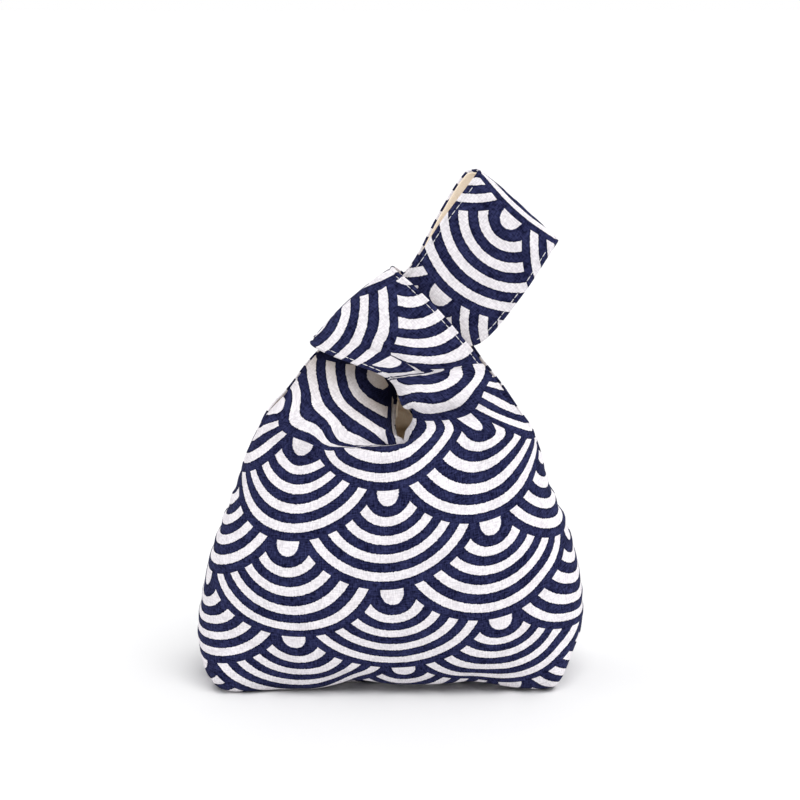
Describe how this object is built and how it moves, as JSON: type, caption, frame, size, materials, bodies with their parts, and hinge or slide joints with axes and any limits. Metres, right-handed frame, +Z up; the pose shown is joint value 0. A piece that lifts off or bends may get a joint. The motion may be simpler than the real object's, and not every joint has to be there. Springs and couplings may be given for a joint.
{
  "type": "knot bag",
  "caption": "Soft lined cloth knot bag standing on a boxed base, tied by its long handle drawn through its short one, printed with overlapping wave arcs.",
  "frame": {"origin": "on the ground, under the middle of the bag's box", "axes": "+Z up, +X to the right seen from the front, -Y towards the front"},
  "size_m": [0.2068, 0.1098, 0.27],
  "materials": {
    "printed_cloth": "matt plain weave of cotton and linen, navy wave print on white",
    "lining_cloth": "matt plain-weave beige cotton"
  },
  "bodies": {
    "root": {"front_panel": "printed_cloth", "back_panel": "printed_cloth", "front_lining": "lining_cloth", "back_lining": "lining_cloth"}
  },
  "joints": []
}
